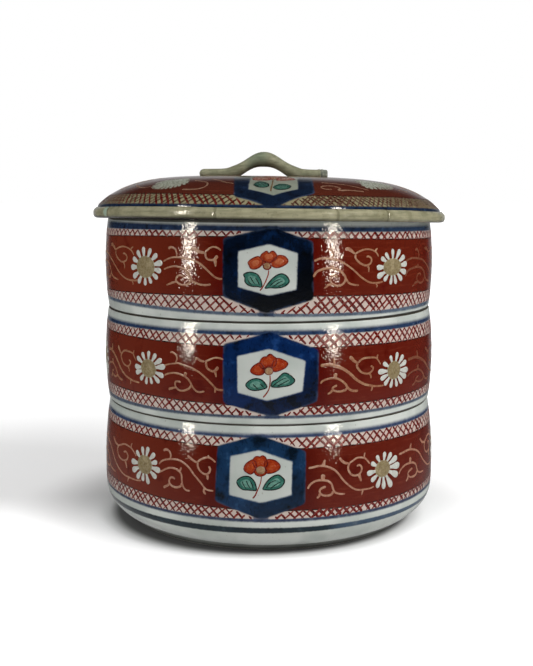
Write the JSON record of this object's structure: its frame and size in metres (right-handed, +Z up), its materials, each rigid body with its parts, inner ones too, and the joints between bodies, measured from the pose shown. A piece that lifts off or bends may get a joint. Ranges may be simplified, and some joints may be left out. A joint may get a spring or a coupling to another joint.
{
  "type": "stacked porcelain lunch box",
  "caption": "Round porcelain food box of stacked tiers whose rings nest in the mouths below, with a domed cane-rimmed lid and an arched bamboo-stem handle.",
  "frame": {"origin": "centre of the foot ring, on the surface that the box stands on", "axes": "+Z up along the axis of the stack, -Y towards the painted front, +X towards the handle's cut end"},
  "size_m": [0.1746, 0.1746, 0.1789],
  "materials": {
    "tier_enamel": "glossy clear glaze over underglaze blue and iron-red enamel",
    "lid_enamel": "glossy glaze over iron-red enamel, with a celadon cane rim",
    "celadon": "glossy grey-green celadon glaze"
  },
  "bodies": {
    "bottom_tier": {"bottom_tier": "tier_enamel"},
    "middle_tier": {"middle_tier": "tier_enamel"},
    "top_tier": {"top_tier": "tier_enamel"},
    "lid": {"lid": "lid_enamel", "lid_handle": "celadon"}
  },
  "joints": [
    {"name": "middle_tier_lift", "type": "slide", "parent": "bottom_tier", "child": "middle_tier", "axis": [0, 0, 1], "range_m": [0, 0.08]},
    {"name": "top_tier_lift", "type": "slide", "parent": "middle_tier", "child": "top_tier", "axis": [0, 0, 1], "range_m": [0, 0.08]},
    {"name": "lid_lift", "type": "slide", "parent": "top_tier", "child": "lid", "axis": [0, 0, 1], "range_m": [0, 0.08]}
  ]
}
